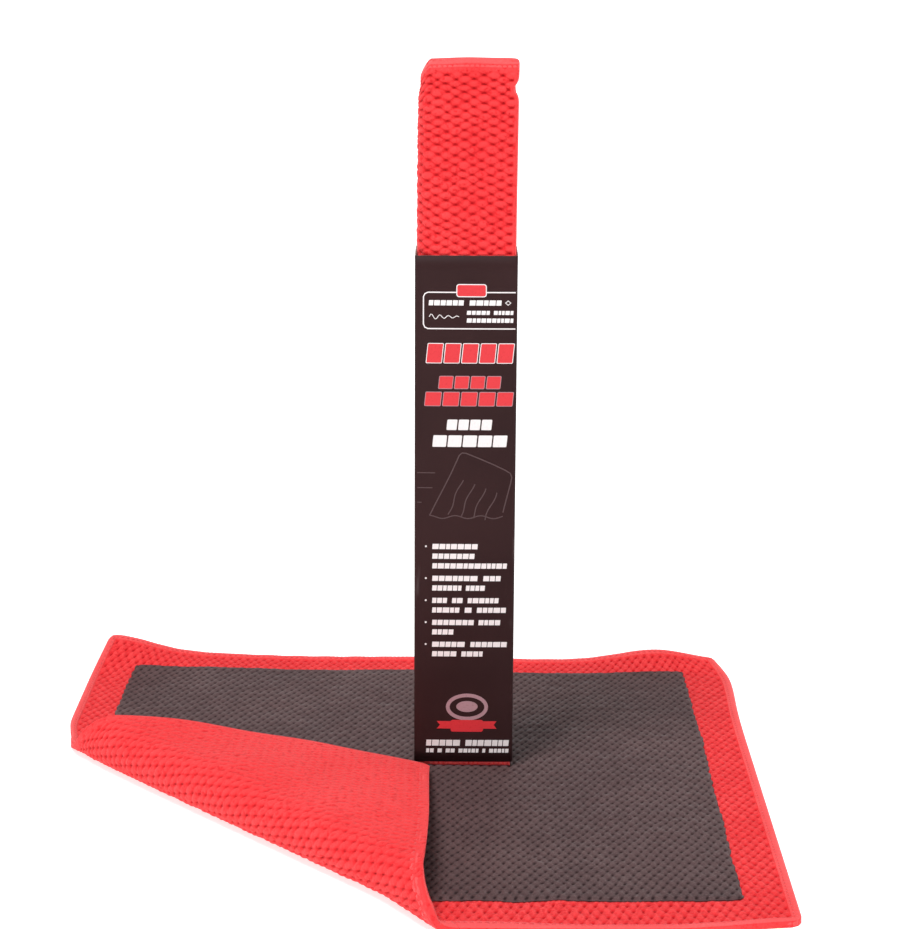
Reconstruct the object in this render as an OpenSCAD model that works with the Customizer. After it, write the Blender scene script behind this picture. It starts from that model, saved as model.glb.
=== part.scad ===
// A clay towel set for car detailing: one clay towel lies open with its front left
// corner folded over, and a second one, folded lengthwise in a card sleeve, stands on it.

/* [Towel] */
// Side of the square towel
towel_side = 305; // [250:1:320]
// Thickness of the knitted microfibre cloth
cloth_t = 2.6; // [1.5:0.1:4]
// Thickness of the clay coating on its top
clay_t = 0.6; // [0.3:0.1:1.2]
// Bare cloth left between the clay and the towel's edge
clay_margin = 19; // [10:1:30]
// Rounding of the clay panel's corners
clay_corner = 6; // [2:1:12]
// Rounding of the towel's own corners
towel_corner = 5; // [1:1:12]
// Width of the rolled hem
hem_w = 5; // [3:0.5:8]
// Height of the rolled hem
hem_t = 3.6; // [3.2:0.1:5]
// Width of the row of stitches on a hem
thread_w = 0.8; // [0.4:0.1:1.5]
// Height of the stitches above the hem
thread_t = 0.3; // [0.2:0.1:0.6]

/* [Folded corner] */
// Distance from the towel's corner to the fold's centre line
fold_reach = 130; // [100:1:150]
// Direction, from the X axis, in which the corner is folded over
fold_angle = 43; // [35:1:55]
// Outer radius of the soft bend
fold_radius = 11; // [6:0.5:16]
// Slope of the folded corner down towards its tip
flap_slope = 8.5; // [0:0.5:12]
// Where the folded corner starts, past the end of the bend
flap_start = 3; // [3:0.1:6]

/* [Sleeve] */
// Outer width of the card sleeve
sleeve_w = 42.6; // [38:0.1:60]
// Outer depth of the card sleeve
sleeve_d = 26.1; // [24:0.1:40]
// Height of the card sleeve
sleeve_h = 223; // [150:1:260]
// Thickness of the card
card_t = 0.4; // [0.3:0.05:0.8]
// Radius of the card's creases
crease_r = 1; // [0.6:0.1:3]
// Width of the card's glued lap
lap_w = 15; // [8:1:25]
// Thickness of the glue
glue_t = 0.1; // [0.05:0.05:0.2]
// Sleeve's centre, to the right of the towel's centre
sleeve_x = 26.6; // [-60:0.1:60]
// Sleeve's front face, behind the towel's centre
sleeve_y = 3; // [0:0.1:60]

/* [Folded towel] */
// Distance from one folded layer to the next
layer_pitch = 3.05; // [2.9:0.05:3.2]
// Thickness of one folded layer's cloth
packed_cloth_t = 2.35; // [2:0.05:2.6]
// Thickness of one folded layer's clay
packed_clay_t = 0.5; // [0.3:0.05:0.6]
// Flat width of a layer between its bends
layer_w = 23; // [20:0.5:30]
// How far the two free edges run past the last bends' centre
free_w = 5.8; // [5:0.1:8]
// How far the folded towel's foot shows under the sleeve
foot_h = 1; // [0:0.1:4]

/* [Hidden] */
$fn = 64;

knit_red = [0.86, 0.13, 0.14];
hem_red = [0.93, 0.22, 0.22];
thread_red = [0.75, 0.08, 0.10];
clay_grey = [0.24, 0.20, 0.21];
card_black = [0.10, 0.08, 0.08];
glue_white = [0.85, 0.82, 0.72];

half = towel_side / 2;
far = 2 * towel_side;
stitch_inset = hem_w / 2;
inward = [cos(fold_angle), sin(fold_angle)];
along = [sin(fold_angle), -cos(fold_angle), 0];
bend_length = PI * fold_radius;
fold_line = [-half, -half] + fold_reach * inward;
// The hinge line is beside the bend by half the cloth that the bend takes up, so that half
// a turn brings the start of the folded corner down to its place on the flat towel.
hinge_at = [each fold_line - bend_length / 2 * inward, fold_radius];
bend_top = [each fold_line, 2 * fold_radius];

clay_top = cloth_t + clay_t;
stand_z = clay_top + 0.1;
layer_t = packed_cloth_t + packed_clay_t;
// The layers in the order in which the cloth runs through them, counted from the front
layer_order = [2, 7, 6, 3, 4, 5, 8, 1];
layers = len(layer_order);
stack_d = (layers - 1) * layer_pitch + layer_t;
left_r = (layers - 1) / 2 * layer_pitch;
stack_x = sleeve_x - sleeve_w / 2 + card_t + 0.3 + left_r + layer_t / 2;
stack_y = sleeve_y + card_t + 0.3 - (layer_pitch - layer_t) / 2;
free_x = layer_w + free_w;

// Flat plan of the towel, in its laid place
module rounded_square(side, r) {
  inner = side / 2 - r;
  union() {
    square([side, 2 * inner], center = true);
    square([2 * inner, side], center = true);
    for (x = [-inner, inner], y = [-inner, inner]) translate([x, y]) circle(r);
  }
}

module towel_plan(inset = 0) rounded_square(towel_side - 2 * inset, towel_corner);

// The quarter of the plan that one side's hem lies in: side 0 is the right one, 1 the back
module side_sector(side) {
  rotate(side * 90) polygon([[0, 0], [far, -far], [far, far]]);
}

module hem_plan(side) {
  intersection() {
    difference() {
      towel_plan();
      towel_plan(hem_w);
    }
    side_sector(side);
  }
}

module thread_plan(side) {
  intersection() {
    difference() {
      towel_plan(stitch_inset - thread_w / 2);
      towel_plan(stitch_inset + thread_w / 2);
    }
    side_sector(side);
  }
}

// Everything more than start past the fold's centre line, away from the towel's corner
module laid_side(start) {
  translate(fold_line) rotate(fold_angle) translate([start, -far]) square([2 * far, 2 * far]);
}

// Everything more than start past the fold's centre line, towards the towel's corner
module corner_side(start) {
  translate(fold_line) rotate(fold_angle)
    translate([-start - 2 * far, -far]) square([2 * far, 2 * far]);
}

module laid_slab(z, t) {
  translate([0, 0, z]) linear_extrude(t) intersection() {
    children();
    laid_side(0);
  }
}

module turned(at, angle) translate(at) rotate(a = angle, v = along) translate(-at) children();

// A slab of the corner, turned over from its flat place and then sloped down to its tip
module folded_slab(z, t) {
  turned(bend_top, -flap_slope) turned(hinge_at, -180) translate([0, 0, z])
    linear_extrude(t) intersection() {
      children();
      corner_side(bend_length + flap_start);
    }
}

module towel_cloth() color(knit_red) laid_slab(0, cloth_t) towel_plan(hem_w);

module clay_plan() rounded_square(towel_side - 2 * clay_margin, clay_corner);

module clay_panel() color(clay_grey) laid_slab(cloth_t, clay_t) clay_plan();

module laid_hem(side) color(hem_red) laid_slab(0, hem_t) hem_plan(side);

module right_hem() laid_hem(0);

module back_hem() laid_hem(1);

module left_hem() laid_hem(2);

module front_hem() laid_hem(3);

module hem_thread() {
  color(thread_red) for (side = [0:3]) laid_slab(hem_t, thread_t) thread_plan(side);
}

// The half tube of cloth or clay that joins the laid part to the folded corner, its ends
// trimmed in line with the edges that margin leaves on the laid part
module bend_shell(r, t, margin) {
  side = towel_side - 2 * margin;
  intersection() {
    translate([each fold_line, fold_radius]) rotate([0, 90, fold_angle - 90]) difference() {
      cylinder(h = far, r = r, center = true);
      cylinder(h = far, r = r - t, center = true);
      translate([-far / 2, 0, -far]) cube([far, far, 2 * far]);
    }
    translate([-side / 2, -side / 2, 0]) cube([side, side, 2 * fold_radius]);
  }
}

module bend_cloth() color(knit_red) bend_shell(fold_radius, cloth_t, 0);

module bend_clay() {
  color(clay_grey) bend_shell(fold_radius - cloth_t, clay_t, clay_margin);
}

module corner_cloth() color(knit_red) folded_slab(0, cloth_t) towel_plan(hem_w);

module corner_clay() color(clay_grey) folded_slab(cloth_t, clay_t) clay_plan();

module corner_front_hem() color(hem_red) folded_slab(0, hem_t) hem_plan(3);

module corner_left_hem() color(hem_red) folded_slab(0, hem_t) hem_plan(2);

// On the folded corner the stitches show on the face that was underneath
module corner_thread() {
  color(thread_red) for (side = [2, 3]) folded_slab(-thread_t, thread_t) thread_plan(side);
}

module crease_rect(w, d, r) {
  union() {
    translate([r, 0]) square([w - 2 * r, d]);
    translate([0, r]) square([w, d - 2 * r]);
    for (x = [r, w - r], y = [r, d - r]) translate([x, y]) circle(r);
  }
}

module card_sleeve() {
  color(card_black) translate([sleeve_x - sleeve_w / 2, sleeve_y, stand_z + foot_h])
    linear_extrude(sleeve_h) difference() {
      crease_rect(sleeve_w, sleeve_d, crease_r);
      translate([card_t, card_t])
        crease_rect(sleeve_w - 2 * card_t, sleeve_d - 2 * card_t, crease_r - card_t);
    }
}

// The strip inside the back wall at a depth from the wall's inner face
module lap_strip(depth, t) {
  translate([
    sleeve_x + sleeve_w / 2 - card_t - crease_r - lap_w,
    sleeve_y + sleeve_d - card_t - depth - t,
    stand_z + foot_h
  ]) cube([lap_w, t, sleeve_h]);
}

module lap_glue() color(glue_white) lap_strip(0, glue_t);

module sleeve_lap() color(card_black) lap_strip(glue_t, card_t);

// A straight run of layer i, between two depths that count from its bare face
module run_plan(i, lo, hi, x_lo, x_hi) {
  y = (layer_order[i] - 0.5) * layer_pitch;
  y_lo = i % 2 == 0 ? y + layer_t / 2 - hi : y - layer_t / 2 + lo;
  translate([x_lo, y_lo]) square([x_hi - x_lo, hi - lo]);
}

// The half ring that joins layer i to the next one: on the left where i is even
module bend_plan(i, lo, hi) {
  step = layer_order[i + 1] - layer_order[i];
  r = abs(step) / 2 * layer_pitch;
  left = i % 2 == 0;
  clay_inside = left ? step < 0 : step > 0;
  r_out = clay_inside ? r + layer_t / 2 - lo : r - layer_t / 2 + hi;
  x = left ? 0 : layer_w;
  translate([x, ((layer_order[i] + layer_order[i + 1]) / 2 - 0.5) * layer_pitch])
    intersection() {
      difference() {
        circle(r_out);
        circle(r_out - (hi - lo));
      }
      translate([left ? -far : 0, -far]) square([far, 2 * far]);
    }
}

// The whole folded section, with trim taken off each free end
module folded_plan(lo, hi, trim) {
  for (i = [0:layers - 1]) {
    free = i == 0 || i == layers - 1;
    run_plan(i, lo, hi, 0, free ? free_x - trim : layer_w);
  }
  for (i = [0:layers - 2]) bend_plan(i, lo, hi);
}

module stand(z, h) translate([stack_x, stack_y, stand_z + z]) linear_extrude(h) children();

module folded_cloth() {
  color(knit_red) stand(hem_w, towel_side - 2 * hem_w) folded_plan(0, packed_cloth_t, hem_w);
}

module folded_clay() {
  color(clay_grey) stand(clay_margin, towel_side - 2 * clay_margin)
    folded_plan(packed_cloth_t, layer_t, clay_margin);
}

module folded_bottom_hem() color(hem_red) stand(0, hem_w) folded_plan(0, layer_t, 0);

module folded_top_hem() {
  color(hem_red) stand(towel_side - hem_w, hem_w) folded_plan(0, layer_t, 0);
}

module free_hem(i) {
  color(hem_red) stand(hem_w, towel_side - 2 * hem_w)
    run_plan(i, 0, layer_t, free_x - hem_w, free_x);
}

module folded_outer_hem() free_hem(layers - 1);

module folded_inner_hem() free_hem(0);

// The stitches that show across the front layer, along its top and bottom hems
module folded_thread() {
  color(thread_red)
    for (z = [stitch_inset, towel_side - stitch_inset])
      translate([stack_x, stack_y + (layer_pitch - layer_t) / 2 - thread_t / 2, stand_z + z])
        translate([0, 0, -thread_w / 2]) cube([free_x, thread_t / 2, thread_w]);
}

towel_cloth();
clay_panel();
back_hem();
right_hem();
front_hem();
left_hem();
hem_thread();
bend_cloth();
bend_clay();
corner_cloth();
corner_clay();
corner_front_hem();
corner_left_hem();
corner_thread();
card_sleeve();
sleeve_lap();
lap_glue();
folded_cloth();
folded_clay();
folded_top_hem();
folded_bottom_hem();
folded_outer_hem();
folded_inner_hem();
folded_thread();
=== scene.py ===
"""Looks of the clay towel set: an open clay towel with a corner folded over, and a folded one
in a card sleeve standing on it. Lengths are in millimetres, and turn into metres in add_mesh."""

import math

import bpy
import numpy as np
from mathutils import Matrix, Vector


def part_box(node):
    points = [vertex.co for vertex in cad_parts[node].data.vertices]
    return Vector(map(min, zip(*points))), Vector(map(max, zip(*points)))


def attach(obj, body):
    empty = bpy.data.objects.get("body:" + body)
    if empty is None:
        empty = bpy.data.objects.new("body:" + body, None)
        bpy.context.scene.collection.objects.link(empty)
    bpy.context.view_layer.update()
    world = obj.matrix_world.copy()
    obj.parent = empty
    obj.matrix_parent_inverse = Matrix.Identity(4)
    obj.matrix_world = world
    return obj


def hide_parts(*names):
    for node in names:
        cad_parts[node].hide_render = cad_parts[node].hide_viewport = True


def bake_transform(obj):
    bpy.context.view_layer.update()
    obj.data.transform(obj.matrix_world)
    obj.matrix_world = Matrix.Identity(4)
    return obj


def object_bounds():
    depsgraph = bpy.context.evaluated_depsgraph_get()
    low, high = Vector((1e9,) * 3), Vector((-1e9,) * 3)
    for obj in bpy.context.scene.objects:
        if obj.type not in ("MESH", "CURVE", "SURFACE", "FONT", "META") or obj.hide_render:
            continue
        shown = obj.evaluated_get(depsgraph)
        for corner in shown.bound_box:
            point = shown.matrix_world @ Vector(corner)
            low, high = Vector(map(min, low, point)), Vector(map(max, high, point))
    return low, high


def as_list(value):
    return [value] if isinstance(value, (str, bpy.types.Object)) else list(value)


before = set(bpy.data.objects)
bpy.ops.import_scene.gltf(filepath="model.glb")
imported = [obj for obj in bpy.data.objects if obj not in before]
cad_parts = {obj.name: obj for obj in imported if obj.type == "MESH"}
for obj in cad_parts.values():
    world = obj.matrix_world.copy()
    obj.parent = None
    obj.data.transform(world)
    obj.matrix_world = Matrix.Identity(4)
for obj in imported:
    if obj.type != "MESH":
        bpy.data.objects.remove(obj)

CAD_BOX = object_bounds()
MM = 0.001


def cad_box(node):
    """A CAD node's box at rest, as two arrays in millimetres."""
    low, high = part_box(node)
    return np.array(low) / MM, np.array(high) / MM


# ---- sizes

HALF = CAD_BOX[1].x / MM  # half the towel's side
SIDE = 2 * HALF
CORNER_R = 5  # rounding of the towel's corners
CLOTH_T = 2.6
CLAY_TOP = 3.2  # top of the clay above the underside
CLAY_BED = 2.2  # bottom of the clay
HEM_T = 3.4
HEM_W = {"front": 3.4, "right": 3.6, "back": 3.4, "left": 3.4}
CORNER_HEM_SHARE = 1.65  # the front hem is this much wider on the folded corner
PACK_HEM_W = 3.8
MARGIN = 19  # bare cloth round the clay
CLAY_HALF = HALF - MARGIN
CLAY_R = 3.5
STITCH_SHARE = 0.72  # seam's place across a hem
STITCH_LINE = 2.9  # seam's distance from the folded towel's ends
STITCH_STEP = 2.75
STITCH_SINK = 0.48  # a seam lies this much under a hem's face
RIB = 2.15  # from one faint rib of a hem to the next

PEARL_W = 7.55  # one knitted pearl and its neighbour, across and along
PEARL_L = 4.05
PEARL_DEPTH = 1.7
PACK_PEARL_DEPTH = 1.85  # the same on the folded towel
BEND_STRETCH = 0.19  # how much the bend stretches the knit

FOLD_REACH = 130  # from the towel's corner to the fold line
FOLD_R = 11  # outer radius of the bend
FOLD_ARC = math.pi * FOLD_R
FOLD_TURN = math.radians(43)
INWARD = np.array([math.cos(FOLD_TURN), math.sin(FOLD_TURN)])
ALONG = np.array([math.sin(FOLD_TURN), -math.cos(FOLD_TURN)])
FOLD_LINE = np.array([-HALF, -HALF]) + FOLD_REACH * INWARD
FOLD_TIP = -139  # the fold line's left end, along it
FLAP_DROP = 14.6  # how far the folded corner sinks from the bend to its tip

SLEEVE_LOW, SLEEVE_HIGH = cad_box("card_sleeve")
SLEEVE_W, SLEEVE_D, SLEEVE_H = SLEEVE_HIGH - SLEEVE_LOW
CARD_T = 0.4
CARD_FOOT = 1.3  # the front panel's foot stands this much above the back's

PACK_LOW, PACK_HIGH = cad_box("folded_bottom_hem")
STAND_Z = PACK_LOW[2]
LAYER_PITCH = 3.05  # from one layer's middle to the next
LAYER_CLOTH = 2.35  # cloth's share of a layer's thickness
LAYER_T = 2.85
LAYER_RUN = 23  # straight part of a layer
FREE_RUN = 28.8  # the same on a layer with a free edge
LAYER_ORDER = (2, 7, 6, 3, 4, 5, 8, 1)  # the way the cloth runs through the pack
PACK_X = 18.1  # left end of the straight parts
PACK_Y = 3.6  # front of the first layer
PACK_MIDDLE = (PACK_LOW[0] + PACK_HIGH[0]) / 2
PACK_MARGIN = 0.6  # the cloth starts this far inside the hems' outer edge
SEEN_RUN = 11  # the runs and bends from this one on are on the outside


# ---- small maths

def smooth(a, b, x):
    """0 at a and 1 at b, with soft ends."""
    k = np.clip((np.asarray(x, float) - a) / (b - a), 0, 1)
    return k * k * (3 - 2 * k)


def hill(x, middle, width):
    """A bell, 1 at its middle."""
    return np.exp(-(((np.asarray(x, float) - middle) / width) ** 2))


def wander(x, y, pitch, seed):
    """Smooth seeded noise, about -1 to 1, with swings about pitch apart."""
    rng = np.random.default_rng(seed)
    total, waves = 0, 7
    for _ in range(waves):
        turn, phase, k = rng.uniform(0, math.pi), rng.uniform(0, 2 * math.pi), rng.uniform(0.7, 1.5)
        along = x * math.cos(turn) + y * math.sin(turn)
        total = total + np.sin(along * math.tau * k / pitch + phase)
    return total / (0.9 * math.sqrt(waves))


def chance(i, j, seed):
    """A repeatable number from 0 to 1 for each whole-numbered pair."""
    v = np.sin(i * 127.1 + j * 311.7 + seed * 74.7) * 43758.5453
    return v - np.floor(v)


# ---- the knit

def pearl(across, along, seed):
    """Height from 0 to 1 of the pearl knit: plump stitches on a staggered grid, pits between."""
    a, b = across / PEARL_W, along / PEARL_L
    best, size = np.inf, 0
    for half in (0, 0.5):
        i, j = np.round(a - half), np.round(b - half)
        d = 4 * ((a - half - i) ** 2 + (b - half - j) ** 2)
        size = np.where(d < best, chance(i + half, j + half, seed), size)
        best = np.minimum(d, best)
    dome = (1 - np.clip(best, 0, 1) ** 1.45) ** 0.9
    return dome * (0.82 + 0.18 * size)


def past_fold(x, y):
    """How far a flat point of the open towel is past the fold line."""
    return FOLD_REACH - ((x + HALF) * INWARD[0] + (y + HALF) * INWARD[1])


def knit_place(x, y):
    """Where a flat point of the open towel falls on the knit, which the bend stretches."""
    give = BEND_STRETCH * np.clip(past_fold(x, y), 0, FOLD_ARC)
    return y + give * INWARD[1], x + give * INWARD[0]


def knit_over(x, y):
    """The knit on the clay side."""
    across, along = knit_place(x, y)
    return pearl(across + PEARL_W / 2, along, seed=5)


# ---- the open towel's lie

def lie_flat(x, y, past):
    """How the laid part lies: curled at the back left, humped and drawn in at the back right,
    and bowed at the front."""
    curl = np.exp(-(((x + HALF) / 34) ** 2) - ((HALF - y) / 17) ** 2)
    rim = smooth(CLAY_HALF, HALF, x)
    bulge = 1.6 * hill(y, 118, 34) * rim * smooth(HALF, HALF - 12, np.abs(y))
    corner = hill(HALF - x, 0, 20) * hill(HALF - y, 0, 18)
    flat_x = x + 5.5 * curl + bulge + rim - 3.4 * corner
    flat_y = y - 4 * hill(x, 70, 60) * smooth(20, HALF, y) - front_bow(x, y) - 2.4 * corner
    ripple = 0.35 * np.maximum(1 + wander(x, y, 120, 11), 0)
    ripple = ripple * smooth(12, 40, HALF - np.abs(x)) * smooth(-20, -50, past)
    return flat_x, flat_y, 10.5 * curl + 5 * hill(x, 121, 28) * hill(HALF - y, 0, 13) + ripple


def front_bow(x, y):
    """How far the front edge lies forward of a straight one."""
    return 8 * smooth(HALF, 105, x) * smooth(-125, -HALF, y)


def lie_folded(x, y, w, past, track):
    """How the bend and the folded corner lie: a half turn, then a sheet that sinks to its tip."""
    turn = np.clip(past / FOLD_R, 0, math.pi)
    run = np.maximum(past - FOLD_ARC, 0)
    length = FOLD_REACH - FOLD_ARC
    share = run / length
    tilt = np.arctan(FLAP_DROP * 1.6 / length * share ** 0.6)
    puff = 2.2 * hill(track, FOLD_TIP, 60) * smooth(0, FOLD_ARC, past) * (1 - smooth(0, 70, run))
    puff = puff + 0.5 * wander(x, y, 70, 13) * smooth(18, FOLD_ARC, past) * smooth(95, 60, run)
    on_flap = past > FOLD_ARC
    across = -np.sin(turn) * (FOLD_R - w) + run - 4.5 * share**2 - w * np.sin(tilt) * on_flap
    height = np.where(on_flap, 2 * FOLD_R - FLAP_DROP * share ** 1.6 - w * np.cos(tilt),
                      FOLD_R - np.cos(turn) * (FOLD_R - w))
    ease = 12 * smooth(0, 20, past) * (1 - 0.6 * smooth(35, FOLD_REACH, past))
    track = track + ease * hill(y + HALF, 0, 78)
    return track, across, height + puff


def lay(x, y, w):
    """Where the towel's flat point (x, y), at height w above its underside, lies: flat, round
    the bend, or on the folded corner."""
    x, y = np.asarray(x, float), np.asarray(y, float)
    w = np.asarray(w, float) + 0 * x
    slack = smooth(2, 14, from_edge(x, y, HALF))
    x, y = (x + slack * (0.24 * wander(x, y, 31, 3) + 0.16 * wander(x, y, 9, 6)),
            y + slack * (0.34 * wander(x, y, 37, 4) + 0.2 * wander(x, y, 11, 7)))
    past = past_fold(x, y)
    track = (x + HALF) * ALONG[0] + (y + HALF) * ALONG[1]
    tip = hill(track, FOLD_TIP, 22) * np.where(past < 0, hill(past, 0, 9), hill(past, 0, 12))
    middle = 0.5 * FOLD_ARC
    drawn = 5.5 * hill(x + HALF, 0, 10) * np.where(
        past < 0, hill(middle, 0, 17) * hill(past, 0, 9), hill(past, middle, 17))
    shift = drawn[..., None] * ALONG
    shift[..., 0] += 2.2 * tip

    flat_x, flat_y, lift = lie_flat(x, y, past)
    flat = np.stack([flat_x + shift[..., 0], flat_y + shift[..., 1], w + lift], -1)

    along, across, height = lie_folded(x, y, w, past, track)
    across = across + (4.5 * hill(track, FOLD_TIP, 55) * smooth(middle, FOLD_ARC + 12, past)
                       * smooth(FOLD_REACH, 80, past))
    spot = FOLD_LINE + along[..., None] * ALONG + across[..., None] * INWARD + shift
    spot[..., 0] += 2.6 * hill(track, FOLD_TIP, 36) * smooth(0, 14, past) * smooth(70, 20, past)
    spot[..., 1] -= front_bow(x, y) * smooth(FOLD_ARC + 20, 4, past)
    folded = np.concatenate([spot, height[..., None]], -1)
    return np.where((past <= 0)[..., None], flat, folded)


# ---- the folded towel's lie

def pack_path():
    """The folded towel's section: points along its middle line, and the lengths at which each
    straight run or bend starts."""
    points, starts = [], [0.0]

    def add(piece):
        piece = np.array(piece)
        starts.append(starts[-1] + np.linalg.norm(np.diff(piece, axis=0), axis=1).sum())
        points.append(piece[1:] if points else piece)

    level = [PACK_Y + (n - 0.5) * LAYER_PITCH for n in LAYER_ORDER]
    last = len(level) - 1
    for i, y in enumerate(level):
        left, right = PACK_X, PACK_X + (FREE_RUN if i in (0, last) else LAYER_RUN)
        ends = (right, left) if i % 2 == 0 else (left, right)
        add([(x, y) for x in np.linspace(*ends, 40)])
        if i == last:
            break
        middle, r = (y + level[i + 1]) / 2, (level[i + 1] - y) / 2
        side, at = (-1, PACK_X) if i % 2 == 0 else (1, PACK_X + LAYER_RUN)
        power = 0.62 if i == last - 1 else 1  # the outermost bend is boxier
        turn = np.linspace(-math.pi / 2, math.pi / 2, 60)
        c, s = np.cos(turn), np.sin(turn)
        add(np.stack([at + side * abs(r) * c**power,
                      middle + r * np.sign(s) * np.abs(s) ** power], 1))
    return np.vstack(points), starts


PATH, STARTS = pack_path()
PATH_AT = np.concatenate([[0], np.cumsum(np.linalg.norm(np.diff(PATH, axis=0), axis=1))])
PATH_L = PATH_AT[-1]
PATH_STEP = np.gradient(PATH, PATH_AT, axis=0)
PATH_TURN = np.unwrap(np.arctan2(PATH_STEP[:, 1], PATH_STEP[:, 0]))


def stack(p, up, w):
    """Where the folded towel's point is: p along its section, up from its foot, w in from its
    outer face. The top sags at the left, has a notch at the right, and opens a little."""
    p, up = np.asarray(p, float), np.asarray(up, float)
    w = np.asarray(w, float) + 0 * p
    slack = smooth(3, 10, up) * smooth(SIDE - 3, SIDE - 10, up) * smooth(PATH_L - 2, PATH_L - 9, p)
    p = p + slack * (0.5 * wander(p, up, 33, 23) + 0.3 * wander(p, up, 10, 24)) * smooth(0, 9, p)
    up = up + slack * (0.4 * wander(p, up, 29, 25) + 0.18 * wander(p, up, 9, 26))
    x, y = (np.interp(p, PATH_AT, PATH[:, k]) for k in (0, 1))
    turn = np.interp(p, PATH_AT, PATH_TURN)
    off = w - LAYER_T / 2
    top = smooth(SIDE - 34, SIDE, up)
    x = x - off * np.sin(turn)
    left, right = PACK_LOW[0], PACK_HIGH[0]
    sag = 5.5 * np.clip((left + 5 - x) / 5, 0, 1) ** 1.7 * top
    drawn_in = 1.3 * smooth(SIDE - 16, SIDE, up) * smooth(left + 9, left, x)
    notch = 1.9 * hill(up, SIDE - 11, 2.8) * smooth(right - 7, right - 2, x)
    spread = 0.017 * smooth(SLEEVE_H - 20, SLEEVE_H + 10, up) * (x - PACK_MIDDLE)
    x = x + spread + 0.4 * smooth(SLEEVE_H + 10, SIDE, up) - notch + drawn_in
    z = STAND_Z + up - sag - top * (2 + 0.25 * wander(x, up, 40, 21))
    return np.stack([x, y + off * np.cos(turn), z], -1)


# ---- meshes

def add_mesh(name, points, faces, material, marks=None, flat=False):
    """A mesh piece from points in millimetres and arrays of faces, with named point values."""
    mesh = bpy.data.meshes.new(name)
    points = np.asarray(points, float).reshape(-1, 3)
    faces = [np.asarray(f, int) for f in faces if len(f)]
    loops = np.concatenate([f.ravel() for f in faces])
    sizes = np.concatenate([np.full(len(f), f.shape[1]) for f in faces])
    mesh.vertices.add(len(points))
    mesh.vertices.foreach_set("co", (points * MM).astype(np.float32).ravel())
    mesh.loops.add(len(loops))
    mesh.loops.foreach_set("vertex_index", loops.astype(np.int32))
    mesh.polygons.add(len(sizes))
    starts = np.concatenate([[0], np.cumsum(sizes)[:-1]])
    mesh.polygons.foreach_set("loop_start", starts.astype(np.int32))
    mesh.update(calc_edges=True)
    for key, values in (marks or {}).items():
        layer = mesh.attributes.new(key, "FLOAT", "POINT")
        layer.data.foreach_set("value", np.asarray(values, np.float32).ravel())
    mesh.polygons.foreach_set("use_smooth", np.full(len(sizes), not flat))
    mesh.materials.append(material)
    mesh.validate()
    piece = bpy.data.objects.new(name, mesh)
    bpy.context.scene.collection.objects.link(piece)
    return piece


def cells(keep):
    """Faces of a grid's kept cells, anticlockwise seen from above."""
    i, j = np.nonzero(keep)
    n = keep.shape[1] + 1
    a = i * n + j
    return np.stack([a, a + n, a + n + 1, a + 1], 1)


def rim_loop(quads):
    """The closed line of points round a patch of faces, in the faces' own turn."""
    a = quads.ravel()
    b = np.roll(quads, -1, axis=1).ravel()
    n = int(quads.max()) + 1
    alone = ~np.isin(a * n + b, b * n + a)
    follow = dict(zip(a[alone].tolist(), b[alone].tolist()))
    first = min(follow)
    loop = [first]
    while follow[loop[-1]] != first:
        loop.append(follow[loop[-1]])
    return np.array(loop)


def wall(low, high, low_at, high_at, shift):
    """Triangles between two rims that run the same way, matched by where they lie when flat.
    shift takes the upper rim's point numbers past the lower face's."""
    def unrolled(loop, at):
        start = np.argmax(at[loop] @ (1, 1.013))  # near the back right corner
        loop = np.roll(loop, -start)
        loop = np.append(loop, loop[0])
        s = np.concatenate([[0], np.cumsum(np.linalg.norm(np.diff(at[loop], axis=0), axis=1))])
        return loop, s / s[-1]

    low, s_low = unrolled(low, low_at)
    high, s_high = unrolled(high, high_at)
    high = high + shift
    i = j = 0
    out = []
    while i < len(low) - 1 or j < len(high) - 1:
        if j == len(high) - 1 or (i < len(low) - 1 and s_low[i + 1] <= s_high[j + 1]):
            out.append((low[i], low[i + 1], high[j]))
            i += 1
        else:
            out.append((low[i], high[j + 1], high[j]))
            j += 1
    return np.array(out)


def slab(name, over, under, place, material):
    """A closed slab. over and under are (X, Y, keep, w, mark) grids of its two faces, and place
    lays a flat point and a height out in space."""
    points, flats, marks, faces, rims = [], [], [], [], []
    for x, y, keep, w, mark in (under, over):
        used, quads = np.unique(cells(keep), return_inverse=True)
        faces.append(quads.reshape(-1, 4))
        rims.append(rim_loop(faces[-1]))
        flats.append(np.stack([x.ravel()[used], y.ravel()[used]], 1))
        points.append(place(*flats[-1].T, w.ravel()[used]))
        marks.append(mark.ravel()[used])
    n = len(points[0])
    # the depth mark tells the knit and clay materials where to paint shade in creases and pits
    return add_mesh(name, np.vstack(points),
                    [faces[0][:, ::-1], faces[1] + n, wall(*rims, *flats, n)], material,
                    {"deep": np.concatenate(marks)})


def tube_faces(n, k):
    """Faces of n bands between rings of k points each."""
    i, j = np.meshgrid(np.arange(n), np.arange(k), indexing="ij")
    after = (j + 1) % k
    return np.stack([i * k + j, i * k + after, (i + 1) * k + after, (i + 1) * k + j],
                    -1).reshape(-1, 4)


def tube_caps(n, k):
    return [np.arange(k)[None, ::-1], (np.arange(k) + n * k)[None]]


def every_cell(x):
    return np.full((x.shape[0] - 1, x.shape[1] - 1), True)


def lines(low, high, step):
    """Even places from low to high, about step apart."""
    return np.linspace(low, high, max(1, round((high - low) / step)) + 1)


def knit_lines(half, step):
    """Lines at whole steps from the middle, so that pits fall on them, and one at each end."""
    n = math.ceil((half - 0.4 * step) / step) - 1
    return np.concatenate([[-half], step * np.arange(-n, n + 1), [half]])


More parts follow.
